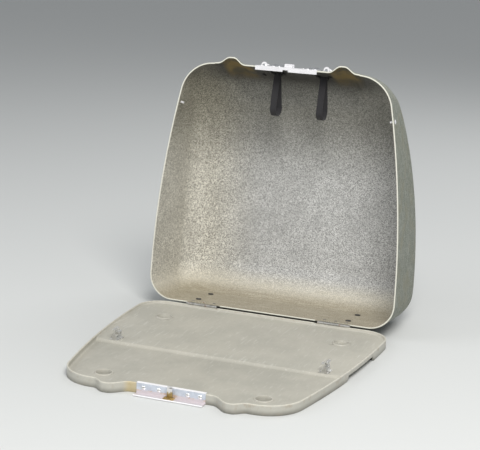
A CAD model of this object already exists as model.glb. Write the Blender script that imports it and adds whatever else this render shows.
# %% [markdown]
# # Portable typewriter case
# The real case is a shallow moulded tray with a deep domed lid standing open behind
# it, made of pressed fibre and painted.  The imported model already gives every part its
# place and its joints, so the script loads it first and builds on it.  The two shells
# are redrawn as smooth computed surfaces, because a moulding's soft curves show every
# facet, and the small metal parts keep their exact solids and only get a real finish.
# Lengths are millimetres until they are written into a mesh, where they become metres.

# %% Frame
import math

import bmesh
import bpy
import numpy as np
from mathutils import Matrix, Vector


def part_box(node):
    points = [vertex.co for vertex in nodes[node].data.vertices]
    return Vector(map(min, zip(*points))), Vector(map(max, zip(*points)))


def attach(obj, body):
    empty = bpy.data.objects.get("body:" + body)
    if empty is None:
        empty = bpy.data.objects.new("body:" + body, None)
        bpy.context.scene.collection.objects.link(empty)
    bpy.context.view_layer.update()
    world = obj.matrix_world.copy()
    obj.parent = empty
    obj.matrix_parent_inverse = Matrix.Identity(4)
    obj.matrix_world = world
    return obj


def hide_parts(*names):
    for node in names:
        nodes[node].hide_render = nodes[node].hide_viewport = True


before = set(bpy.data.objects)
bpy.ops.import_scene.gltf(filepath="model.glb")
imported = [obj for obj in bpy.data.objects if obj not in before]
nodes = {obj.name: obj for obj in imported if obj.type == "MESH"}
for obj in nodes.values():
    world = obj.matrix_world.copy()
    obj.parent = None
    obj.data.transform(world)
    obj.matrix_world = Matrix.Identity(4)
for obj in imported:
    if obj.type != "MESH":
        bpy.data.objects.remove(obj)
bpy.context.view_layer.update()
scene = bpy.context.scene
print("solids loaded:", len(nodes))

# %% [markdown]
# ## Sizes of the shells
# A moulding follows a few drawn curves: the plan outline, the roof's long ellipse, the
# lock panel that leans back between two shoulders, and the angle at which the lid
# rests.  They could be measured off the solids, but naming them once keeps the
# computed surfaces and the solids on the same numbers.

# %% Sizes
CASE_DEPTH = 367.0
REAR_HALF, FRONT_HALF = 194.0, 164.0
FRONT_R, REAR_R, SIDE_BOW = 53.0, 38.0, 7.1
WALL, RIM, RIM_GAP = 2.5, 14.0, 0.4
ROOF, ROOF_FLAT, FRONT_WALL, ROOF_REAR_R = 140.0, 296.0, 20.0, 55.0
SHOULDER_R, SHOULDER_SHARE = 32.0, 0.55
BUMP_X, BUMP_FLAT, BUMP_OUT, BUMP_FADE, BUMP_LEAST = 85.5, 2.5, 10.7, 60.0, 0.6
TRAY_BUMP_INNER, TRAY_BUMP_OUTER, TRAY_RECESS = 56.0, 106.0, 7.0
LID_BUMP_INNER, LID_BUMP_OUTER = 63.0, 109.5
PANEL_SET, PANEL_LEAN, PANEL_TOP, PANEL_ROUND, PANEL_POWER = 1.0, 0.2, 82.0, 44.0, 12
PANEL_FOOT, PANEL_HIGH, PANEL_DEEP = 0.8, 80.0, 60.0
FRONT_CREASE, PANEL_CREASE = 2.0, 5.0
FRONT_FLOOR, REAR_FLOOR, FLOOR_THICK = 6.0, 10.0, 2.5
FLOOR_STEP, RAMP_START, RAMP_END = 160.0, 159.8, 161.3
SCOOP_START, SCOOP_END, SCOOP_RAMP, SCOOP_HIGH = 173.0, 275.0, 3.0, 7.5
WELL_R, WELL_LIP, WELL_RISE, WELL_FLOOR = 10.5, 2.0, 1.5, 2.0
WELLS = [(112.0, 43.0, FRONT_FLOOR), (137.0, 300.0, REAR_FLOOR)]
PAD_R, PAD_HIGH, RIB, CROSS_RIB_HALF, CROSS_RIB_LOW = 26.0, 8.5, 3.0, 175.0, 6.0
STRAP_X, STRAP_WIDTH, STRAP_THICK = (-23.0, 49.0), 10.0, 1.2
STRAP_DROP, STRAP_LOOP_R, STAPLE_R, STAPLE_GAP = 62.0, 15.0, 1.0, 0.25
LID_RIM = RIM + RIM_GAP
FRONT_Y, REAR_Y = -CASE_DEPTH / 2, CASE_DEPTH / 2
HINGE_Y, HINGE_Z = REAR_Y + 1.0, RIM + RIM_GAP / 2
HINGE_SPANS = [(-130.0, -80.0), (80.0, 130.0)]
HINGE_DEEP, HINGE_SIDE, LID_NOTCH, TRAY_NOTCH = 3.0, 0.35, 2.9, 2.7
OPEN_ANGLE = math.radians(95.59907)

rear_corner_depth = CASE_DEPTH - REAR_R
rear_corner_x = REAR_HALF - REAR_R
side_rise, side_run = REAR_HALF - FRONT_HALF, rear_corner_depth - FRONT_R
corner_turn = math.atan2(side_rise, side_run) + 4 * SIDE_BOW / side_run
front_corner_x = FRONT_HALF - FRONT_R * math.cos(corner_turn)
side_start = FRONT_R * (1 - math.sin(corner_turn))
side_chord = math.hypot(rear_corner_depth - side_start, side_rise)
side_r = (side_chord**2 / 4 + SIDE_BOW**2) / (2 * SIDE_BOW)
side_tilt = math.atan2(side_rise, rear_corner_depth - side_start)
side_cx = (FRONT_HALF + REAR_HALF) / 2 - (side_r - SIDE_BOW) * math.cos(side_tilt)
side_cd = (side_start + rear_corner_depth) / 2 + (side_r - SIDE_BOW) * math.sin(side_tilt)
roof_run = ROOF_FLAT / math.sqrt(1 - (FRONT_WALL / ROOF) ** 2)
print("side wall's arc radius:", round(side_r, 1), "mm")


# %% [markdown]
# ## Outline and roof
# Seen from above, the case has two tight corners and two long, slightly bowed sides;
# seen from the side, the roof is a quarter of a long ellipse that runs into a round.
# Each curve is a function that takes whole arrays, so thousands of points are found in
# one step, and an inset gives the inner face of the wall from the same formula.

# %% Outline and roof
def arc_at(radius, offset):
    """Height of a circle over its diameter, sqrt(radius^2 - offset^2), and 0 beyond its ends."""
    return np.sqrt(np.maximum(radius**2 - offset**2, 0))


def half_width(depth, inset=0.0):
    """Half the plan width: a corner arc, one bowed side arc, and a corner arc."""
    front = front_corner_x + arc_at(FRONT_R - inset, FRONT_R - depth)
    side = side_cx + arc_at(side_r - inset, depth - side_cd)
    rear = rear_corner_x + arc_at(REAR_R - inset, depth - rear_corner_depth)
    return np.where(depth < side_start, front, np.where(depth > rear_corner_depth, rear, side))


def roof_at(depth, inset=0.0):
    """Roof height: high * sqrt(1 - ((flat - depth) / run)^2), then flat, then a quarter round."""
    high, radius = ROOF - inset, ROOF_REAR_R - inset
    round_start = CASE_DEPTH - ROOF_REAR_R
    front = high * arc_at(1.0, (ROOF_FLAT - depth) / (roof_run - inset))
    rear = high - radius + arc_at(radius, depth - round_start)
    return np.where(depth < ROOF_FLAT, front, np.where(depth < round_start, high, rear))


def roof_depth(height):
    """Depth at which the ellipse reaches a height: flat - run * sqrt(1 - (height / roof)^2)."""
    return np.maximum(ROOF_FLAT - roof_run * arc_at(1.0, height / ROOF), 0)


halfway = np.array(180.0)
print("half width and roof half way back:", half_width(halfway).round(1), roof_at(halfway).round(1))


# %% [markdown]
# ## The lid's form
# The lock panel leans back between two bulging shoulders and melts into the dome.  Such
# a blend is hard to draw as patches, and easy as a field: a function that is positive
# inside the form, where a rounded maximum joins two forms with a soft crease.

# %% Lid form
STEEPEST = 4.0


def s_blend(x, x0, x1):
    """Half a cosine wave from 0 at x0 to 1 at x1."""
    s = np.clip((x - x0) / (x1 - x0), 0, 1)
    return (1 - np.cos(math.pi * s)) / 2


def soft_max(a, b, k):
    """max(a, b) with its corner rounded over a width k."""
    h = np.clip(0.5 + 0.5 * (a - b) / k, 0, 1)
    return b + (a - b) * h + k * h * (1 - h)


def panel_front(x, height, inset=0.0):
    """Depth of the lock panel's face, pushed forward at its two shoulders.

    Between them it is set + lean * height + round * (height / top)^power.
    """
    roll = PANEL_ROUND * (np.maximum(height, 0) / PANEL_TOP) ** PANEL_POWER
    face = PANEL_SET + PANEL_LEAN * height + roll + inset
    out = np.maximum((BUMP_OUT + PANEL_SET) * (1 - (height / BUMP_FADE) ** 2), BUMP_LEAST)
    crest = face - out
    foot = roof_depth(height) + inset + PANEL_FOOT
    ax = np.abs(x)
    inner = face + (crest - face) * s_blend(ax, LID_BUMP_INNER, BUMP_X - BUMP_FLAT)
    outer = crest + (foot - crest) * s_blend(ax, BUMP_X + BUMP_FLAT, LID_BUMP_OUTER)
    return np.where(ax < BUMP_X, inner, outer)


def arch_field(x, depth, height, inset):
    """Distance inside the domed arch; a leaning roof is divided by sqrt(1 + slope^2)."""
    side = half_width(depth, inset) - np.abs(x)
    up = roof_at(depth, inset) - height
    radius = np.minimum(SHOULDER_R, SHOULDER_SHARE * roof_at(depth)) - inset
    a, b = np.maximum(radius - side, 0), np.maximum(radius - up, 0)
    corner = np.hypot(a, b)
    arch = np.where((a > 0) & (b > 0), radius - corner, np.minimum(side, up))
    slope = (roof_at(depth + 0.5, inset) - roof_at(depth - 0.5, inset)).clip(-STEEPEST, STEEPEST)
    return np.where(b > 0, arch / np.sqrt(1 + (slope * b / np.maximum(corner, 1e-6)) ** 2), arch)


def lid_field(x, depth, height, inset=0.0):
    """Positive inside the lid's form: an arch with round shoulders, joined softly to the panel."""
    body = -soft_max(-arch_field(x, depth, height, inset), inset - depth, FRONT_CREASE)
    body = np.minimum(body, CASE_DEPTH - inset - depth)
    panel = np.minimum(depth - panel_front(x, height, inset), LID_BUMP_OUTER - np.abs(x))
    behind = roof_depth(height) + PANEL_DEEP - depth
    panel = np.minimum(panel, np.minimum(PANEL_HIGH - height, behind))
    return soft_max(body, panel, PANEL_CREASE)


print("field at the lid's heart:", lid_field(*np.array([0.0, 190.0, 60.0])).round(1))


# %% [markdown]
# ## The tray's form
# The tray repeats the lid's outline, with its front stepped back for the keeper plate,
# and its floor rises by one shallow step.  A field for the plan and a height for the
# floor are all that is needed, since its walls stand straight.

# %% Tray form
def tray_front(x, inset=0.0):
    """Depth of the tray's front: stepped back in the middle, pushed out at its two shoulders."""
    ax = np.abs(x)
    rise = s_blend(ax, TRAY_BUMP_INNER, BUMP_X - BUMP_FLAT)
    inner = TRAY_RECESS - (TRAY_RECESS + BUMP_OUT) * rise
    outer = BUMP_OUT * (s_blend(ax, BUMP_X + BUMP_FLAT, TRAY_BUMP_OUTER) - 1)
    return np.where(ax < BUMP_X, inner, outer) + inset


def tray_field(x, depth, height, inset=0.0):
    """Positive inside the tray's plan; the height plays no part."""
    side = half_width(depth, inset) - np.abs(x)
    return np.minimum(np.minimum(side, depth - tray_front(x, inset)), CASE_DEPTH - inset - depth)


def floor_height(depth):
    """The tray's floor: level, a short ramp up at the step, level again."""
    return FRONT_FLOOR + (REAR_FLOOR - FRONT_FLOOR) * s_blend(depth, RAMP_START, RAMP_END)


def notch_at(points, size):
    """The size of the hinges' notch for rim points that lie over a hinge, and 0 elsewhere."""
    x = points[:, 0]
    over = np.zeros(len(x), bool)
    for low, high in HINGE_SPANS:
        over |= (x > low - HINGE_SIDE) & (x < high + HINGE_SIDE)
    return np.where(over & (points[:, 1] > CASE_DEPTH - HINGE_DEEP), size, 0.0)


def swing_open(points):
    """Turn shut-lid points back about the hinge line to where the lid rests."""
    c, s = math.cos(-OPEN_ANGLE), math.sin(-OPEN_ANGLE)
    y, z = points[..., 1] - HINGE_Y, points[..., 2] - HINGE_Z
    return np.stack([points[..., 0], HINGE_Y + y * c - z * s, HINGE_Z + y * s + z * c], -1)


print("tray front at the middle and at a shoulder:", tray_front(np.array([0.0, BUMP_X])).round(1))


# %% [markdown]
# ## Meshes from arrays
# Blender can fill a mesh vertex by vertex, but foreach_set takes a whole array at once
# and is far quicker.  The helper also stores a value per vertex, which a material can
# read to know where it is on the piece, and keeps the object at the origin, so that the
# mesh alone says where the piece stands.  A ring that shrinks to one point makes a pole,
# and merging its points closes it.

# %% Mesh helper
MERGE_DISTANCE = 1e-6


def ring_faces(rings, count, closed=False):
    """Quads between neighbouring rings of vertices; closed joins the last ring to the first."""
    start = np.arange(rings if closed else rings - 1)[:, None] * count
    after = (start + count) % (rings * count)
    c = np.arange(count)[None, :]
    n = (c + 1) % count
    return np.stack([start + c, start + n, after + n, after + c], -1).reshape(-1, 4)


def make_mesh(name, points, quads, values=None, smooth=True):
    """Object from an (n, 3) array in millimetres and an (m, 4) array of corners."""
    mesh = bpy.data.meshes.new(name)
    mesh.vertices.add(len(points))
    mesh.vertices.foreach_set("co", (np.asarray(points, float) / 1000).ravel())
    mesh.loops.add(quads.size)
    mesh.loops.foreach_set("vertex_index", quads.ravel().astype(np.int32))
    mesh.polygons.add(len(quads))
    mesh.polygons.foreach_set("loop_start", np.arange(0, quads.size, 4, dtype=np.int32))
    mesh.update(calc_edges=True)
    mesh.validate()
    for key, data in (values or {}).items():
        layer = mesh.attributes.new(key, "FLOAT", "POINT")
        layer.data.foreach_set("value", np.asarray(data, float).ravel())
    mesh.polygons.foreach_set("use_smooth", np.full(len(mesh.polygons), smooth))
    obj = bpy.data.objects.new(name, mesh)
    scene.collection.objects.link(obj)
    return obj


def outward(obj, ends=0):
    """Merge points that meet, or only those among the first and last few; face all outwards."""
    bm = bmesh.new()
    bm.from_mesh(obj.data)
    verts = list(bm.verts)
    merged = verts[:ends] + verts[-ends:] if ends else verts
    bmesh.ops.remove_doubles(bm, verts=merged, dist=MERGE_DISTANCE)
    bmesh.ops.recalc_face_normals(bm, faces=bm.faces)
    bm.to_mesh(obj.data)
    bm.free()


print("3 rings of 4 points have", len(ring_faces(3, 4)), "quads between them")

# %% [markdown]
# ## Rays through a field
# The lid is one sheet of fibre with an even wall.  Rays leave a point inside it in
# every direction, and 42 halvings of a distance find where each ray leaves the form.
# This keeps the mesh a tidy grid of rings, where a voxel remesh would blur the rim.

# %% Ray tools
CENTRE_DEPTH, CENTRE_HEIGHT = 190.0, WALL / 2
RAY_REACH, HALVINGS = 420.0, 42
NOTCH_RAYS = (-0.45, -0.3, 0.3, 0.45)


def ray_shell(field, turns, lifts, inset):
    """Points where 42 halvings of the distances [0, 420] bring the field to zero along each ray."""
    flat = np.cos(lifts)[:, None]
    upright = np.sin(lifts)[:, None] * np.ones_like(turns)
    toward = np.stack([np.sin(turns) * flat, -np.cos(turns) * flat, upright], -1)
    start = np.array([0.0, CENTRE_DEPTH, CENTRE_HEIGHT])
    near, far = np.zeros_like(upright), np.full_like(upright, RAY_REACH)
    for _ in range(HALVINGS):
        mid = (near + far) / 2
        inside = field(*np.moveaxis(start + toward * mid[..., None], -1, 0), inset) > 0
        near, far = np.where(inside, mid, near), np.where(inside, far, mid)
    return start + toward * ((near + far) / 2)[..., None]


def dense_turns(count):
    """Angles round the plan, closer together where the shoulders are.

    Their density is 1 + 1.9 exp(-((|t| - 0.44) / 0.2)^2) + 0.5 exp(-(t / 0.5)^2).
    """
    fine = np.linspace(-math.pi, math.pi, 20001)
    shoulders = 1.9 * np.exp(-(((np.abs(fine) - 0.44) / 0.2) ** 2))
    weight = 1 + shoulders + 0.5 * np.exp(-((fine / 0.5) ** 2))
    total = np.concatenate([[0], np.cumsum((weight[1:] + weight[:-1]) / 2)])
    marks = np.linspace(0, total[-1], count + 1)[:-1]
    return np.interp(marks, total, fine)


def hinge_turns(turns):
    """Move the nearest rays to just inside and outside both ends of each hinge notch."""
    for low, high in HINGE_SPANS:
        for gap in NOTCH_RAYS:
            edge = (low if gap < 0 else high) + gap
            turn = math.pi - math.atan2(abs(edge), CASE_DEPTH - CENTRE_DEPTH - WALL / 2)
            turn = math.copysign(turn, edge)
            turns[np.argmin(np.abs(turns - turn))] = turn
    return np.sort(turns)


print("rays round the lid:", len(dense_turns(420)))


# %% [markdown]
# ## Lid skin
# One set of rays gives the outside and a second, with the field inset by the wall,
# gives the inside.  A half round lip joins them along the rim, as on the real moulding,
# and the rim rises over the two hinge knuckles.  Each vertex keeps its place on the
# shut lid, so the finish can follow the moulding.

# %% Lid skin
LID_RAYS, LID_LEVELS, LEVEL_POWER, LIP_STEPS = 420, 91, 1.08, 8


def lid_skin():
    """The lid's shell as one grid, from the outer pole over the lip to the inner pole."""
    turns = hinge_turns(dense_turns(LID_RAYS))
    lifts = (math.pi / 2) * np.linspace(0, 1, LID_LEVELS + 1)[:-1] ** LEVEL_POWER
    outer = ray_shell(lid_field, turns, lifts, 0.0)
    inner = ray_shell(lid_field, turns, lifts, WALL)
    raised = notch_at(outer[0], LID_NOTCH)
    arc = np.linspace(0, math.pi, LIP_STEPS + 1)[1:-1]
    mid, half = (outer[0] + inner[0]) / 2, (outer[0] - inner[0]) / 2
    lip = mid + np.cos(arc)[:, None, None] * half
    lip[..., 2] = WALL / 2 * (1 - np.sin(arc))[:, None] + raised
    for shell in (outer, inner):
        shell[..., 2] = np.maximum(shell[..., 2], raised + WALL / 2)
    crowns = [float(roof_at(np.array(CENTRE_DEPTH), inset)) for inset in (0.0, WALL)]
    poles = [np.tile([0, CENTRE_DEPTH, crown], (1, len(turns), 1)) for crown in crowns]
    rows = np.concatenate([poles[0], outer[::-1], lip, inner, poles[1]])
    points = rows.reshape(-1, 3)
    side = [np.ones(LID_LEVELS + 1), np.linspace(1, 0, len(arc)), np.zeros(LID_LEVELS + 1)]
    shut = points + np.array([0.0, FRONT_Y, LID_RIM])
    values = {
        "outside": np.repeat(np.concatenate(side), len(turns)),
        "above_rim": points[:, 2],
        "lid_x": points[:, 0],
        "lid_depth": points[:, 1],
    }
    obj = make_mesh("lid_skin", swing_open(shut), ring_faces(len(rows), len(turns)), values)
    outward(obj, ends=len(turns))
    return obj


lid = lid_skin()
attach(lid, "lid")
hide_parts("lid_shell")
print("lid_skin:", len(lid.data.polygons), "faces")

# %% [markdown]
# ## Raised details of the tray
# The tray has four round wells for the machine's feet, and ribs and a round pad below
# that stiffen it.  A round detail is a profile carried about an upright axis, and a rib
# is a bar from its six faces; both sink a little into the moulding to meet it.

# %% Tray details
ROUND_STEPS, PAD_BEVEL, PAD_COVER, PAD_BACK = 56, 0.6, 0.8, 2.0
RIB_LOW, RIB_SINK, RIB_COVER, RIB_END = 0.1, 0.3, 2.2, 1.0


def revolved(profile, x, depth):
    """Rings round an upright axis from (radius, height) pairs; the ends stand on the axis."""
    profile = np.array(profile, float)
    turn = np.arange(ROUND_STEPS) * 2 * math.pi / ROUND_STEPS
    rings = np.stack([
        x + profile[:, :1] * np.cos(turn),
        FRONT_Y + depth + profile[:, :1] * np.sin(turn),
        profile[:, 1:] * np.ones_like(turn),
    ], -1)
    return rings.reshape(-1, 3), ring_faces(len(profile), ROUND_STEPS)


def bar(x0, x1, y0, y1, z0, z1):
    """A straight rib from its six faces."""
    corners = np.array([[x, y, z] for z in (z0, z1) for y in (y0, y1) for x in (x0, x1)], float)
    faces = [[0, 2, 3, 1], [4, 5, 7, 6], [0, 1, 5, 4], [2, 6, 7, 3], [0, 4, 6, 2], [1, 3, 7, 5]]
    return corners, np.array(faces)


def well(x, depth, ground):
    """A foot well: a cup with a raised, rounded lip that flares a little at its foot."""
    lip, crown = WELL_R + WELL_LIP, ground + 1.3
    outer = [(0, 0), (lip - 0.4, 0), (lip, 0.4), (lip, ground), (lip + 0.5, ground - 0.1)]
    top = [(lip + 0.1, ground + 0.8), (lip - 0.5, crown), (WELL_R + 1, ground + WELL_RISE)]
    inner = [(WELL_R + 0.4, crown), (WELL_R, ground + 0.8), (WELL_R, WELL_FLOOR + 0.6)]
    base = [(WELL_R - 0.6, WELL_FLOOR), (0, WELL_FLOOR)]
    return revolved(outer + top + inner + base, x, depth)


def pad():
    """The round pad under the middle, kept below the floor where the floor is lower."""
    side = [(PAD_R - PAD_BEVEL, 0), (PAD_R, PAD_BEVEL), (PAD_R, PAD_HIGH)]
    points, faces = revolved([(0, 0), *side, (0, PAD_HIGH)], 0, -FRONT_Y)
    under = floor_height(points[:, 1] - FRONT_Y - PAD_BACK) - PAD_COVER
    points[:, 2] = np.minimum(points[:, 2], under)
    return points, faces


def ribs():
    """One rib from front to back, in two heights, and one across."""
    half, step_y, top = RIB / 2, FRONT_Y + FLOOR_STEP, REAR_FLOOR - FLOOR_THICK + RIB_SINK
    front_y = FRONT_Y + TRAY_RECESS + RIB_END
    return [
        bar(-half, half, front_y, step_y + 3, RIB_LOW, FRONT_FLOOR - RIB_COVER),
        bar(-half, half, step_y + 2, REAR_Y - RIB_END, RIB_LOW, top),
        bar(-CROSS_RIB_HALF, CROSS_RIB_HALF, RIB, 2 * RIB, CROSS_RIB_LOW, top),
    ]


print("faces in a well:", len(well(0, 0, FRONT_FLOOR)[1]))


# %% [markdown]
# ## Tray rings
# The same rays, held level, find the tray's outline.  Rings run from the middle of the
# underside out to the skirt, up the wall, round the rim and back in over the floor, so
# the whole moulding is one grid.  One ring lies on each side of the floor's step, which
# keeps the step sharp and straight, and points near a well gather on two circles hidden
# in its lip, so that the steep faces between them never show.

# %% Tray rings
TRAY_RAYS, WALL_SHARES, RIM_STEPS, FILLET_STEPS = 560, (0.25, 0.5, 0.75, 1.0), 10, 6
SKIRT_ROUND, SKIRT_EDGE, FILLET, FILLET_END = 0.8, 0.6, 3.0, 0.5
FAR_LIMIT, NEAR_LIMIT = 0.985, 0.97
LIP_SIDE, LIP_CATCH = 0.6, 6.5


def fit_wells(points):
    """Draw points near a lip to middle -/+ 0.6 of it, and drop all that lie inside."""
    middle = WELL_R + WELL_LIP / 2
    for well_x, well_depth, _ in WELLS:
        off_x, off_y = np.abs(points[..., 0]) - well_x, points[..., 1] - well_depth
        away = np.maximum(np.hypot(off_x, off_y), 1e-6)
        inside = away < middle
        circle = middle + np.where(inside, -LIP_SIDE, LIP_SIDE)
        pull = np.where(np.abs(away - middle) < LIP_CATCH, circle / away, 1.0)
        points[..., 0] = np.sign(points[..., 0]) * (well_x + off_x * pull)
        points[..., 1] = well_depth + off_y * pull
        points[..., 2] = np.where(inside, WELL_FLOOR / 2, points[..., 2])


def floor_rings(start, inner_count, outer_count, drop):
    """Rings from a first one in to the middle, with one on each side of the floor's step."""
    middle = np.array([0.0, CENTRE_DEPTH, 0.0])
    ahead = np.maximum(CENTRE_DEPTH - start[:, 1], 1e-6)
    step_far = np.minimum((CENTRE_DEPTH - RAMP_START) / ahead, FAR_LIMIT)
    step_near = np.minimum((CENTRE_DEPTH - RAMP_END) / ahead, NEAR_LIMIT)
    outward_shares = step_far + (1 - step_far) * np.linspace(1, 0, outer_count)[:, None]
    inward_shares = step_near * np.linspace(1, 0, inner_count)[:, None]
    shares = np.concatenate([outward_shares, inward_shares])
    points = middle + (start - middle)[None] * shares[..., None]
    points[..., 2] = floor_height(points[..., 1]) - drop
    fit_wells(points)
    return list(points)


def tray_rings():
    """Ring after ring of the tray's moulding, in shut coordinates, and a mark on its wall."""
    turns = hinge_turns(dense_turns(TRAY_RAYS))
    outer, inner = (ray_shell(tray_field, turns, np.zeros(1), inset)[0] for inset in (0.0, WALL))
    depth = outer[:, 1]
    ground, notch = floor_height(depth), notch_at(outer, TRAY_NOTCH)
    scoop = s_blend(depth, SCOOP_START, SCOOP_START + SCOOP_RAMP)
    scoop = scoop - s_blend(depth, SCOOP_END - SCOOP_RAMP, SCOOP_END)
    low, top = SCOOP_HIGH * scoop, RIM - WALL / 2

    def ring(inset, height):
        points = outer + (inner - outer) / WALL * inset
        points[:, 2] = height
        return points

    rings = floor_rings(ring(WALL, 0.0), 14, 16, FLOOR_THICK)[::-1]
    rings += [ring(WALL, np.minimum(low + 0.5, ground - FLOOR_THICK)), ring(WALL - SKIRT_EDGE, low)]
    wall_start = len(rings)
    rings += [ring(SKIRT_EDGE, low), ring(0.15, low + 0.25), ring(0.0, low + SKIRT_ROUND)]
    rise = top - notch - low - SKIRT_ROUND
    rings += [ring(0.0, low + SKIRT_ROUND + rise * share) for share in WALL_SHARES]
    for angle in np.linspace(0, math.pi, RIM_STEPS + 1)[1:-1]:
        inset = WALL / 2 * (1 - math.cos(angle))
        height = top + WALL / 2 * math.sin(angle)
        rings.append(ring(inset, height - notch * (1 - inset / WALL)))
    wall_end = len(rings) - RIM_STEPS // 2
    rings += [ring(WALL, top), ring(WALL, (top + ground + FILLET) / 2)]
    for angle in np.linspace(0, math.pi / 2, FILLET_STEPS):
        sunk = FILLET * (1 - math.sin(angle))
        rings.append(ring(WALL + FILLET * (1 - math.cos(angle)), ground + sunk))
    rings += floor_rings(ring(WALL + FILLET + FILLET_END, 0.0), 40, 44, 0.0)
    points = np.array(rings)
    points[..., 1] += FRONT_Y
    wall = np.zeros(points.shape[:2])
    wall[wall_start:wall_end] = 1
    return points, wall


tray_grid, tray_wall = tray_rings()
print("rings in the tray:", len(tray_grid))


# %% [markdown]
# ## Tray skin
# The rings and the details are joined into one mesh.  A value marks the outer wall,
# where the paint is paler and chipped.

# %% Tray skin
SHARP_ANGLE = math.radians(73)


def tray_skin():
    """The rings, the wells, the pad and the ribs as one mesh."""
    parts = [(tray_grid.reshape(-1, 3), ring_faces(*tray_grid.shape[:2]))]
    for well_x, well_depth, ground in WELLS:
        parts += [well(side * well_x, well_depth, ground) for side in (-1, 1)]
    parts += [pad(), *ribs()]
    points = np.concatenate([part[0] for part in parts])
    starts = np.cumsum([0] + [len(part[0]) for part in parts])
    quads = np.concatenate([part[1] + start for part, start in zip(parts, starts)])
    wall = np.concatenate([tray_wall.ravel(), np.zeros(len(points) - tray_wall.size)])
    obj = make_mesh("tray_skin", points, quads, {"wall": wall})
    outward(obj)
    obj.data.set_sharp_from_angle(angle=SHARP_ANGLE)
    return obj


tray = tray_skin()
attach(tray, "tray")
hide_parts("base_tray")
print("tray_skin:", len(tray.data.polygons), "faces")

# %% [markdown]
# ## Elastic loops
# Two black elastic loops hang from wire staples in the lid.  Each is one endless band
# under its own weight, so its line is the outline round a small circle (the staple's
# bar) and a larger one below it: two arcs joined by their common tangents.  A band
# section carried along that line gives a closed mesh, with the lengths along and
# across it kept for the weave.

# %% Elastic loops
LOOP_STEPS, BAND_STEPS, BAND_INSET = 120, 24, 0.08
WAIST, RIPPLE, LEAN = 0.05, 0.10, 0.5


def loop_line(top_r, low_r, fall):
    """Closed line of a hanging teardrop: (y, z) from the bar's centre, evenly spaced."""
    lean = math.asin((low_r - top_r) / fall)
    upper = np.linspace(-lean, math.pi + lean, 24)
    lower = np.linspace(math.pi + lean, 2 * math.pi - lean, 48)
    line = np.concatenate([
        np.stack([top_r * np.cos(upper), top_r * np.sin(upper)], -1),
        np.stack([low_r * np.cos(lower), low_r * np.sin(lower) - fall], -1),
    ])
    line = np.concatenate([line, line[:1]])
    length = np.concatenate([[0], np.cumsum(np.hypot(*np.diff(line, axis=0).T))])
    marks = np.linspace(0, length[-1], LOOP_STEPS + 1)[:-1]
    return np.stack([np.interp(marks, length, side) for side in line.T], -1), length[-1]


def squared(wave, power):
    """sign(wave) * |wave|^power, which turns a circle into a rounded box."""
    return np.sign(wave) * np.abs(wave) ** power


def elastic_loop(name, x, phase):
    """A band with rounded edges swept round the loop; it leans and puckers a little."""
    low, high = (np.array(corner) * 1000 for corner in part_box(name))
    half = STRAP_THICK / 2
    bar_y, bar_z = (low[1] + high[1]) / 2, low[2] + STRAP_DROP
    fall = STRAP_DROP - STRAP_LOOP_R
    line, length = loop_line(STAPLE_R + STAPLE_GAP + half, STRAP_LOOP_R - half, fall)
    along = np.arange(LOOP_STEPS) * 2 * math.pi / LOOP_STEPS
    forward = np.roll(line, -1, 0) - np.roll(line, 1, 0)
    forward /= np.hypot(*forward.T)[:, None]
    out = np.stack([forward[:, 1], -forward[:, 0]], -1)
    turn = np.linspace(0, 2 * math.pi, BAND_STEPS + 1)[:-1]
    across = STRAP_WIDTH / 2 * squared(np.cos(turn), 0.35)
    thick = (half - BAND_INSET) * squared(np.sin(turn), 0.6)
    # the lower a point hangs, the more it leans and puckers
    sag = np.clip(-line[:, 1] / fall, 0, 1)
    waist = 1 - WAIST * np.sin(3 * along + phase) * sag
    ripple = RIPPLE * (np.sin(14 * along + phase) * sag)[:, None] * np.cos(2 * turn)
    lean = -LEAN * np.sin(math.pi * sag / 2)
    points = np.stack([
        x + lean[:, None] + across[None, :] * waist[:, None],
        bar_y + line[:, :1] + out[:, :1] * (thick + ripple),
        bar_z + line[:, 1:] + out[:, 1:] * (thick + ripple),
    ], -1)
    marks = np.repeat(np.arange(LOOP_STEPS) / LOOP_STEPS * length, BAND_STEPS)
    obj = make_mesh(
        name.replace("strap", "elastic"), points.reshape(-1, 3),
        ring_faces(LOOP_STEPS, BAND_STEPS, closed=True),
        {"along": marks, "across": np.tile(across, LOOP_STEPS)},
    )
    outward(obj)
    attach(obj, "lid")
    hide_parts(name)
    print(obj.name, "flat:", STRAP_WIDTH, "x", round(length, 1), "mm")
    return obj


elastics = [
    elastic_loop(name, x, phase)
    for name, x, phase in zip(("strap_left", "strap_right"), STRAP_X, (0.4, 2.1))
]


# %% [markdown]
# ## Node tools
# A finish is a graph of nodes.  Building it by hand takes many lines, so a small class
# adds a node and sets or links its inputs in one call; the graph then reads like a
# formula.

# %% Node tools
class Graph:
    """The nodes of a material or of a node group."""

    def __init__(self, tree):
        self.tree = tree

    def feed(self, item, inputs):
        """Set or link a node's inputs, which are named or counted."""
        for key, value in inputs.items():
            if isinstance(value, bpy.types.NodeSocket):
                self.tree.links.new(value, item.inputs[key])
            else:
                item.inputs[key].default_value = value

    def add(self, kind, inputs, **props):
        """Add a node, set its properties, then feed it; the result is its outputs."""
        item = self.tree.nodes.new(kind)
        for key, value in props.items():
            setattr(item, key, value)
        self.feed(item, inputs)
        return item.outputs


print("a node helper is ready:", Graph.add.__name__)


# %% [markdown]
# ## Colour tools
# Paint wears and dirt gathers by degrees, so most colours are one colour mixed into
# another by a mask.  These helpers mix colours, shape a mask between two values and do
# sums; the noise always reads Object coordinates, which stay with the piece as it moves.

# %% Colour tools
MIX_FACTOR, MIX_A, MIX_B, MIX_RESULT = 0, 6, 7, 2


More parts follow.
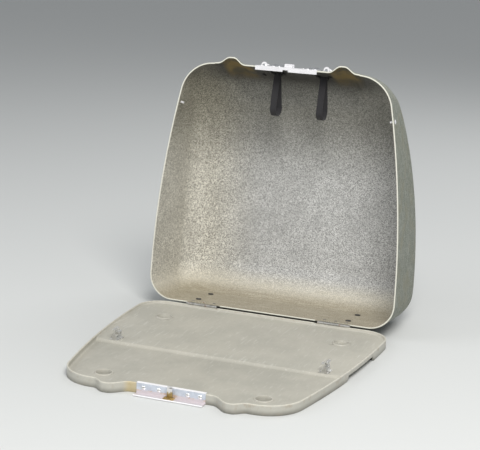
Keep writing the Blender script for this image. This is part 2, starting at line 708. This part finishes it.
class Paint(Graph):
    """A graph with the steps that a finish is made of."""

    def mix(self, factor, a, b, mode="MIX"):
        """Colour b mixed into colour a by a factor from 0 to 1."""
        a, b = ((*colour, 1) if isinstance(colour, tuple) else colour for colour in (a, b))
        inputs = {MIX_FACTOR: factor, MIX_A: a, MIX_B: b}
        return self.add("ShaderNodeMix", inputs, data_type="RGBA", blend_type=mode)[MIX_RESULT]

    def coat(self, colour, *layers):
        """Lay (mask, colour) layers over a colour, one after another."""
        for mask, layer in layers:
            colour = self.mix(mask, colour, layer)
        return colour

    def ramp(self, value, start, end, low=0.0, high=1.0):
        """A smooth step from low, where the value is start, to high, where it is end."""
        inputs = {"Value": value, "From Min": start, "From Max": end, "To Min": low, "To Max": high}
        return self.add("ShaderNodeMapRange", inputs, interpolation_type="SMOOTHSTEP")[0]

    def maths(self, operation, a, b=0.0):
        return self.add("ShaderNodeMath", {0: a, 1: b}, operation=operation)[0]

    def product(self, first, *others):
        for other in others:
            first = self.maths("MULTIPLY", first, other)
        return first

    def noise(self, vector, scale, detail=3.0, roughness=0.55, distortion=0.0):
        inputs = {"Vector": vector, "Scale": scale, "Detail": detail}
        inputs |= {"Roughness": roughness, "Distortion": distortion}
        return self.add("ShaderNodeTexNoise", inputs)[0]

    def attribute(self, name):
        return self.add("ShaderNodeAttribute", {}, attribute_name=name)["Fac"]

    def place(self):
        return self.add("ShaderNodeTexCoord", {})["Object"]

    def axes(self, spot):
        """The three coordinates of a place, in metres."""
        return self.add("ShaderNodeSeparateXYZ", {"Vector": spot})

    def stretch(self, spot, scale):
        """Places scaled axis by axis; a noise is drawn out along the smallest number."""
        return self.add("ShaderNodeMapping", {"Vector": spot, "Scale": scale})[0]


print("colour helpers are ready:", Paint.mix.__name__, Paint.ramp.__name__)


# %% [markdown]
# ## Materials and groups
# Every material ends in one shader, nearly always with a bump.  Several finishes share
# an effect: a node group holds it once, with named inputs, and each material places it
# with its own values.

# %% Materials and groups
FLOAT = "NodeSocketFloat"


class Material(Paint):
    """The graph of a new material, which ends in its Principled shader."""

    def __init__(self, name):
        self.mat = bpy.data.materials.new(name)
        self.mat.use_nodes = True
        super().__init__(self.mat.node_tree)

    def group(self, group, inputs):
        return self.add("ShaderNodeGroup", inputs, node_tree=group)

    def finish(self, colour, rough, bump=(), more=()):
        """Feed the shader, with a bump from (height, strength, distance); return the material."""
        shader = next(n for n in self.tree.nodes if n.type == "BSDF_PRINCIPLED")
        self.feed(shader, {"Base Color": colour, "Roughness": rough, **dict(more)})
        if bump:
            inputs = dict(zip(("Height", "Strength", "Distance"), bump))
            self.feed(shader, {"Normal": self.add("ShaderNodeBump", inputs)[0]})
        return self.mat


def new_group(name, inputs, outputs):
    """An empty node group whose sockets are all named numbers."""
    tree = bpy.data.node_groups.new(name, "ShaderNodeTree")
    for key, default in inputs.items():
        socket = tree.interface.new_socket(key, in_out="INPUT", socket_type=FLOAT)
        socket.default_value = default
    for key in outputs:
        tree.interface.new_socket(key, in_out="OUTPUT", socket_type=FLOAT)
    given, result = tree.nodes.new("NodeGroupInput"), tree.nodes.new("NodeGroupOutput")
    return Paint(tree), given.outputs, result


print("ready:", Material.__name__, new_group.__name__)

# %% [markdown]
# ### Pressed fibre
# The fibre board shows pale and dark flecks a millimetre or two across, inside and out.
# Two noises of different size give them, since one alone looks like even static.  The
# outputs are the fleck's lightness from 0 to 1 and a height for the bump.

# %% Pressed fibre group
def fibre_group():
    g, given, result = new_group("pressed_fibre", {"Scale": 1.0}, ("Fleck", "Height"))
    spot = g.place()
    fine = g.noise(spot, g.product(given["Scale"], 520.0), 1.0, 0.5, 0.9)
    coarse = g.noise(spot, g.product(given["Scale"], 240.0), 1.0, 0.5, 1.6)
    mixed = g.maths("ADD", g.product(fine, 0.65), g.product(coarse, 0.35))
    g.feed(result, {"Fleck": g.ramp(mixed, 0.43, 0.58), "Height": mixed})
    return g.tree


FIBRE = fibre_group()
print("group:", FIBRE.name)


# %% [markdown]
# ### Lid finish
# Inside, the fibre is grey with pale flecks, warmer towards the left wall, worn to a
# streaked beige at the foot and brown in the shoulders' hollows.  Outside it is painted
# a mottled grey-olive, and the lip is bare and pale.  One material covers them all: the
# stored values say which side a point is on and how far back and up it lies.

# %% Lid finish
BARE_LIP, BLACK_SLOT, UNCHANGED = (0.68, 0.67, 0.59), (0.02, 0.02, 0.02), (1.0, 1.0, 1.0)
SLOT_X = 0.5


def lid_foot(g, spot, fleck, depth):
    """Plain beige, browner and streaked towards the hinges."""
    brush = g.noise(g.stretch(spot, (30.0, 300.0, 300.0)), 1.0, 3.0, 0.6)
    beige = g.mix(g.ramp(depth, 346, 364), (0.66, 0.62, 0.52), (0.39, 0.335, 0.23))
    beige = g.mix(g.ramp(brush, 0.42, 0.66, high=0.5), beige, (0.62, 0.57, 0.44))
    speckled = g.mix(fleck, (0.70, 0.70, 0.70), UNCHANGED)
    return g.mix(g.ramp(depth, 362, 340, 0.9), beige, speckled, "MULTIPLY")


def lid_inside(g, spot, fleck, cloud, across, depth):
    """Grey flecks, warmer by the left wall, with dust and age under the lock panel."""
    left = g.ramp(across, -60, -165)
    dark = g.mix(left, (0.265, 0.265, 0.26), (0.25, 0.237, 0.205))
    pale = g.mix(left, (0.65, 0.65, 0.64), (0.82, 0.795, 0.71))
    share = g.product(fleck, g.ramp(cloud, 0.3, 0.7, 0.80, 1.15))
    colour = g.mix(share, dark, pale)
    colour = g.mix(g.ramp(depth, 322, 352, high=0.85), colour, lid_foot(g, spot, fleck, depth))
    dusty = g.mix(g.ramp(depth, 185, 60), UNCHANGED, (0.54, 0.53, 0.485))
    colour = g.mix(1.0, colour, dusty, "MULTIPLY")
    # the lock panel's shade, then the shoulders' rusty hollows on each side of it
    ax = g.maths("ABSOLUTE", across)
    panel = g.product(g.ramp(ax, 150, 100, 0.35), g.ramp(depth, 38, 12, high=0.88))
    hollow = g.product(g.ramp(ax, 56, 68), g.ramp(ax, 112, 100), g.ramp(depth, 26, 6, high=0.75))
    rusty = g.mix(g.ramp(cloud, 0.4, 0.6), (0.10, 0.085, 0.05), (0.24, 0.17, 0.06))
    return g.coat(colour, (panel, (0.035, 0.034, 0.032)), (hollow, rusty))


def lid_outside(g, spot, fleck):
    """Mottled grey-olive with upright streaks and brownish patches."""
    streaks = g.noise(g.stretch(spot, (300.0, 300.0, 70.0)), 1.0, 3.0, 0.6)
    patch = g.noise(spot, 38.0, 4.0, 0.65)
    colour = g.mix(fleck, (0.135, 0.145, 0.12), (0.27, 0.285, 0.24))
    return g.coat(
        colour,
        (g.ramp(streaks, 0.46, 0.66, high=0.5), (0.35, 0.36, 0.32)),
        (g.ramp(patch, 0.45, 0.70, high=0.5), (0.25, 0.235, 0.165)),
    )


def lid_material():
    """Inside, outside, the pale lip and the black slot behind the thumb piece."""
    g = Material("lid_fibre")
    spot = g.place()
    fibre = g.group(FIBRE, {"Scale": 1.6})
    across, depth = g.attribute("lid_x"), g.attribute("lid_depth")
    above = g.attribute("above_rim")
    cloud = g.noise(spot, 26.0, 3.0, 0.6)
    inside = lid_inside(g, spot, fibre["Fleck"], cloud, across, depth)
    outside = lid_outside(g, spot, fibre["Fleck"])
    colour = g.mix(g.attribute("outside"), inside, outside)
    off_slot = g.maths("ABSOLUTE", g.maths("SUBTRACT", across, SLOT_X))
    slot = g.product(g.ramp(off_slot, 6.5, 4.0), g.ramp(depth, 18, 14))
    slot = g.product(slot, g.ramp(above, 9.0, 6.0, high=0.95))
    colour = g.coat(colour, (g.ramp(above, 0.7, 0.25), BARE_LIP), (slot, BLACK_SLOT))
    rough = g.ramp(cloud, 0.3, 0.7, 0.55, 0.72)
    return g.finish(colour, rough, (fibre["Height"], 0.30, 0.0006), {"Specular IOR Level": 0.35})


lid.data.materials.append(lid_material())
print("lid finish:", lid.data.materials[0].name)

# %% [markdown]
# ### Tray finish
# The tray has smooth cream-grey paint, ivory where the rim has worn, with dirt gathered
# low on the outside, a yellow stain beside the keeper and pale scuffs along the floor.
# Each kind of wear is its own mask from height, place or a stretched noise, so any of
# them can be turned down without touching the others.

# %% Tray finish
def tray_material():
    """Cream-grey paint under scuffs, dirt, chips, a worn rim and one yellow stain."""
    g = Material("tray_paint")
    spot = g.place()
    x, y, z = g.axes(spot)
    wall = g.attribute("wall")
    broad = g.noise(spot, 14.0, 4.0, 0.6)
    fine = g.noise(spot, 260.0, 3.0, 0.6)
    scuff = g.noise(g.stretch(spot, (330.0, 36.0, 330.0)), 1.0, 3.0, 0.6)
    chips = g.noise(spot, 95.0, 4.0, 0.65)
    # chips show on the outer wall and along the rim, wear only on top of the rim
    chipped = g.product(
        g.ramp(chips, 0.52, 0.66, high=0.7),
        g.ramp(z, 0.004, 0.0125, 0.3),
        g.maths("MAXIMUM", wall, g.ramp(z, 0.0108, 0.0122)),
    )
    worn = g.product(g.ramp(z, 0.0118, 0.0136), g.ramp(fine, 0.35, 0.65, 0.9, 0.35))
    dirt = g.product(g.ramp(z, 0.0085, 0.0, high=0.9), g.ramp(broad, 0.35, 0.65, 0.7))
    beside = g.maths("ABSOLUTE", g.maths("ADD", x, 0.055))
    stain = g.product(g.ramp(beside, 0.012, 0.003, high=0.55), g.ramp(y, -0.172, -0.177))
    colour = g.mix(g.ramp(broad, 0.35, 0.68), (0.48, 0.462, 0.40), (0.43, 0.417, 0.362))
    colour = g.coat(
        colour,
        (g.ramp(scuff, 0.55, 0.72, high=0.5), (0.62, 0.61, 0.56)),
        (g.ramp(fine, 0.56, 0.78, high=0.30), (0.30, 0.28, 0.23)),
        (g.product(wall, 0.75), (0.46, 0.45, 0.40)),
        (dirt, (0.17, 0.165, 0.14)),
        (chipped, (0.37, 0.32, 0.25)),
        (worn, (0.60, 0.58, 0.50)),
        (stain, (0.55, 0.42, 0.17)),
    )
    rough = g.ramp(broad, 0.3, 0.7, 0.42, 0.58)
    relief = g.maths("ADD", fine, g.product(broad, 2.0))
    return g.finish(colour, rough, (relief, 0.18, 0.0006), {"Specular IOR Level": 0.45})


TRAY = tray_material()
print("tray finish:", TRAY.name)


# %% [markdown]
# ### Worn plating
# Old plating is bright in places and dull in others, with fine scratches that show most
# in the highlights.  A slow noise gives the clouds and a long, thin one the scratches;
# the group puts both out, and every metal below uses it with its own range.

# %% Worn plating group
def wear_group():
    """Roughness is low + (high - low) * share, where the share is 70 % cloud and 30 % scratch."""
    g, given, result = new_group(
        "worn_plating", {"Scale": 1.0, "Low": 0.2, "High": 0.5}, ("Cloud", "Roughness", "Height")
    )
    spot = g.place()
    cloud = g.noise(spot, g.product(given["Scale"], 60.0), 4.0, 0.65)
    long = g.stretch(spot, (60.0, 900.0, 900.0))
    scratch = g.noise(long, given["Scale"], 2.0, 0.5)
    span = g.maths("SUBTRACT", given["High"], given["Low"])
    mixed = g.maths("ADD", g.product(cloud, 0.7), g.product(scratch, 0.3))
    share = g.ramp(mixed, 0.35, 0.65)
    rough = g.maths("ADD", given["Low"], g.product(share, span))
    g.feed(result, {"Cloud": cloud, "Roughness": rough, "Height": scratch})
    return g.tree


WEAR = wear_group()
print("group:", WEAR.name)


# %% [markdown]
# ### Metals
# The fittings are plain, bright, dark and blackened metals.  One function makes them
# all from two colours and two roughnesses.  Pale nickel is only part metallic, because
# its dull film scatters light as paint does.

# %% Metals
RUST = (0.30, 0.13, 0.05)


def metal(name, bright, dull, low, high, rust=0.0, metallic=1.0):
    """Plated metal whose clouds run from bright to dull, with rust over a share of it."""
    g = Material(name)
    wear = g.group(WEAR, {"Low": low, "High": high})
    colour = g.mix(g.ramp(wear["Cloud"], 0.38, 0.66), bright, dull)
    if rust:
        spots = g.noise(g.place(), 130.0, 5.0, 0.7)
        cover = g.ramp(spots, 0.62 - rust * 0.3, 0.74 - rust * 0.3)
        colour = g.mix(cover, colour, RUST)
        metallic = g.maths("SUBTRACT", 1.0, g.product(cover, 0.85))
    relief = (wear["Height"], 0.08, 0.0002)
    return g.finish(colour, wear["Roughness"], relief, {"Metallic": metallic})


STEEL = metal("plated_steel", (0.78, 0.78, 0.78), (0.50, 0.50, 0.49), 0.26, 0.5, 0.12)
HINGE_STEEL = metal("hinge_steel", (0.62, 0.61, 0.58), (0.33, 0.32, 0.3), 0.32, 0.55, 0.22)
CHROME = metal("chrome", (0.95, 0.95, 0.95), (0.74, 0.75, 0.76), 0.12, 0.30)
POLISHED = metal("polished_steel", (0.92, 0.92, 0.91), (0.60, 0.60, 0.58), 0.18, 0.36)
STRIP = metal("grip_strip", (0.70, 0.71, 0.72), (0.34, 0.34, 0.35), 0.16, 0.34)
DARK = metal("blackened_steel", (0.16, 0.16, 0.155), (0.07, 0.07, 0.068), 0.35, 0.6)
CLIP = metal("clip_plating", (0.84, 0.84, 0.82), (0.52, 0.51, 0.48), 0.24, 0.42, metallic=0.7)
PALE = metal("pale_nickel", (0.93, 0.92, 0.94), (0.80, 0.79, 0.81), 0.25, 0.42, metallic=0.35)
METALS = (STEEL, HINGE_STEEL, CHROME, POLISHED, STRIP, DARK, CLIP, PALE)
print("metals made:", [mat.name for mat in METALS])


# %% [markdown]
# ### Keeper and hook
# The keeper plate is bent up from thin plated sheet.  Its face is a pale blue-grey, the
# shelf has a pinkish bloom, rust follows the bend and the edges are rubbed bright.  The
# hook has lost its plating low down.  Masks from height and depth place these bands.

# %% Keeper and hook
def keeper_material():
    """Pale blue-grey plating, pinkish low down, a thin rust line in the bend, bright edges."""
    g = Material("keeper_plating")
    spot = g.place()
    _, y, z = g.axes(spot)
    wear = g.group(WEAR, {"Low": 0.3, "High": 0.5})
    spots = g.noise(spot, 110.0, 5.0, 0.7)
    below, above = g.ramp(z, 0.0075, 0.0055), g.ramp(z, 0.0035, 0.0050)
    rust = g.product(below, above, g.ramp(spots, 0.46, 0.62, high=0.75))
    edge = g.maths("MAXIMUM", g.ramp(z, 0.0144, 0.0150), g.ramp(y, -0.1868, -0.1882))
    colour = g.mix(g.ramp(wear["Cloud"], 0.35, 0.65), (0.70, 0.75, 0.83), (0.54, 0.58, 0.66))
    colour = g.coat(
        colour,
        (g.ramp(z, 0.0075, 0.0045, high=0.85), (0.76, 0.69, 0.70)),
        (rust, (0.60, 0.38, 0.20)),
        (edge, (0.93, 0.92, 0.94)),
    )
    metallic = g.ramp(g.maths("ADD", rust, edge), 0.0, 1.0, 0.55, 0.15)
    return g.finish(colour, wear["Roughness"], (spots, 0.12, 0.0003), {"Metallic": metallic})


def hook_material():
    """Bright plating worn through to brass below an uneven line."""
    g = Material("hook_plating")
    spot = g.place()
    wear = g.group(WEAR, {"Low": 0.22, "High": 0.45})
    spots = g.noise(spot, 160.0, 4.0, 0.6)
    brass = g.mix(g.ramp(wear["Cloud"], 0.38, 0.66), (0.62, 0.47, 0.20), (0.36, 0.25, 0.09))
    wander = g.product(g.maths("SUBTRACT", spots, 0.5), 0.012)
    line = g.maths("ADD", g.axes(spot)[2], wander)
    colour = g.mix(g.ramp(line, 0.0085, 0.0115), brass, (0.80, 0.79, 0.78))
    return g.finish(colour, wear["Roughness"], (spots, 0.12, 0.0003), {"Metallic": 0.7})


KEEPER, HOOK = keeper_material(), hook_material()
print("keeper finishes:", KEEPER.name, HOOK.name)


# %% [markdown]
# ### Rubber and elastic
# The rear feet are dull black rubber with a little dust.  The loops are woven elastic:
# two sine waves, one across the band and one along it, make the ribs and the weft.

# %% Rubber and elastic
RIB_PITCH, WEFT_PITCH = 1.1, 0.8


def rubber_material():
    g = Material("dark_rubber")
    spot = g.place()
    grain = g.noise(spot, 500.0)
    dust = g.ramp(g.noise(spot, 40.0), 0.45, 0.75, high=0.5)
    colour = g.mix(dust, (0.03, 0.03, 0.03), (0.13, 0.125, 0.115))
    rough = g.ramp(grain, 0.3, 0.7, 0.65, 0.85)
    return g.finish(colour, rough, (grain, 0.3, 0.0002))


def wave(g, name, pitch):
    """sin(2 pi * place / pitch) of a place stored on the mesh in millimetres."""
    return g.maths("SINE", g.product(g.attribute(name), 2 * math.pi / pitch))


def webbing_material():
    """Woven elastic: ribs along the strap crossed by a finer weft."""
    g = Material("black_elastic")
    weft = g.product(wave(g, "along", WEFT_PITCH), 0.6)
    weave = g.maths("ADD", wave(g, "across", RIB_PITCH), weft)
    fuzz = g.ramp(g.noise(g.place(), 900.0, 2.0), 0.6, 0.8, high=0.4)
    colour = g.mix(g.ramp(weave, -1.2, 1.4), (0.006, 0.006, 0.008), (0.026, 0.024, 0.026))
    colour = g.mix(fuzz, colour, (0.07, 0.06, 0.06))
    return g.finish(colour, 0.85, (weave, 0.5, 0.0003), {"Sheen Weight": 0.12})


RUBBER, WEB = rubber_material(), webbing_material()
print("soft finishes:", RUBBER.name, WEB.name)

# %% [markdown]
# ### Which part gets which finish
# The small solids keep their shape, so a table from part names to materials is enough.
# A part is matched by how its name starts, so the longer of two starts comes first.

# %% Finishes
SKINNED = ("lid_shell", "base_tray", "strap_left", "strap_right")
FINISHES = {
    "keeper_hook": HOOK, "keeper_plate": KEEPER, "keeper_rivets": POLISHED,
    "lock_bolt": STEEL, "lock": PALE, "bolt_guide_rivet": POLISHED, "bolt_guide": STEEL,
    "handle_grip": STRIP, "handle_rivets": DARK, "handle_bracket": PALE, "handle": CHROME,
    "hinge_pin": POLISHED, "hinge": HINGE_STEEL, "clip": CLIP, "strap": DARK,
    "side_pegs": PALE, "rear_feet": RUBBER,
}


def dress(name, obj):
    """Give a solid the first finish in the table whose key starts its name."""
    obj.data.materials.clear()
    obj.data.materials.append(next(mat for key, mat in FINISHES.items() if name.startswith(key)))


plain = [name for name in nodes if name not in SKINNED]
for name in plain:
    dress(name, nodes[name])
tray.data.materials.append(TRAY)
for obj in elastics:
    obj.data.materials.append(WEB)
print("dressed:", len(plain), "solids and", len(SKINNED), "skins")

# %% [markdown]
# ## Floor
# The case stands on a plain pale floor.  It reaches far beyond the view, so its edge
# never shows, and it is marked as stage, so it isn't part of the object.

# %% Floor
FLOOR_SIDE, FLOOR_FRONT, FLOOR_BACK = 9000.0, -6000.0, 12000.0

floor_paint = Material("floor").finish((0.62, 0.63, 0.62, 1), 0.7)
corners = [
    [-FLOOR_SIDE, FLOOR_FRONT, 0], [FLOOR_SIDE, FLOOR_FRONT, 0],
    [FLOOR_SIDE, FLOOR_BACK, 0], [-FLOOR_SIDE, FLOOR_BACK, 0],
]
floor = make_mesh("floor", corners, np.array([[0, 1, 2, 3]]), smooth=False)
floor.data.materials.append(floor_paint)
print("floor:", floor.name)

# %% [markdown]
# ## Light
# Soft studio light at a plain level: a big key lamp in front and to the right, a weaker
# fill from the left, a lamp behind and an even pale world.  Large lamps give the soft
# shadow of the lid's right wall across its roof.

# %% Light
world = bpy.data.worlds.new("studio")
scene.world = world
world.use_nodes = True
world.node_tree.nodes["Background"].inputs["Color"].default_value = (0.86, 0.89, 0.92, 1)
world.node_tree.nodes["Background"].inputs["Strength"].default_value = 0.42


def area_light(name, spot, aim, size, power, colour=(1, 1, 1)):
    """A round lamp at a spot, turned to an aim; places in metres, power in watts."""
    lamp = bpy.data.lights.new(name, "AREA")
    lamp.shape = "DISK"
    lamp.size = size
    lamp.energy = power
    lamp.color = colour
    obj = bpy.data.objects.new(name, lamp)
    obj.location = spot
    obj.rotation_mode = "QUATERNION"
    obj.rotation_quaternion = (Vector(aim) - Vector(spot)).to_track_quat("-Z", "Y")
    scene.collection.objects.link(obj)


area_light("key", (0.95, -1.5, 2.05), (0, 0.1, 0.15), 1.35, 66, (1.0, 0.985, 0.96))
area_light("fill", (-1.7, -0.9, 1.3), (0, 0.1, 0.2), 1.6, 12, (0.96, 0.98, 1.0))
area_light("back", (0.6, 1.9, 1.9), (0, 0.2, 0.2), 1.6, 16)

# %% [markdown]
# ## Camera
# The camera stands a little above the case and to its right.  Its turn is built from
# three unit vectors, which avoids guessing at Euler angles.

# %% Camera
AZIMUTH, ELEVATION, ROLL = math.radians(20.10), math.radians(13.21), math.radians(2.36)
TARGET, DISTANCE = Vector((0.00078, 0.05033, 0.18028)), 1.98705
LENS, SENSOR = 107.55, 36.0

level = math.cos(ELEVATION)
back = Vector((math.sin(AZIMUTH) * level, -math.cos(AZIMUTH) * level, math.sin(ELEVATION)))
right = Vector((math.cos(AZIMUTH), math.sin(AZIMUTH), 0))
up = back.cross(right)
turned_right = right * math.cos(ROLL) + up * math.sin(ROLL)
turned_up = up * math.cos(ROLL) - right * math.sin(ROLL)
camera_data = bpy.data.cameras.new("camera")
camera_data.lens = LENS
camera_data.sensor_width = SENSOR
camera = bpy.data.objects.new("camera", camera_data)
scene.collection.objects.link(camera)
camera.matrix_world = Matrix.Translation(TARGET + back * DISTANCE) @ Matrix(
    (turned_right, turned_up, back)
).transposed().to_4x4()
scene.camera = camera
scene.view_settings.view_transform = "Standard"
print("camera distance:", round(DISTANCE, 3), "m")

# %% [markdown]
# ## Hand over
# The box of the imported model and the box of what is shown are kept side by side, so
# that anyone can see that the skins stay within the solids' box.  The last call checks
# the scene and passes it on.

# %% Finish
bpy.context.view_layer.update()
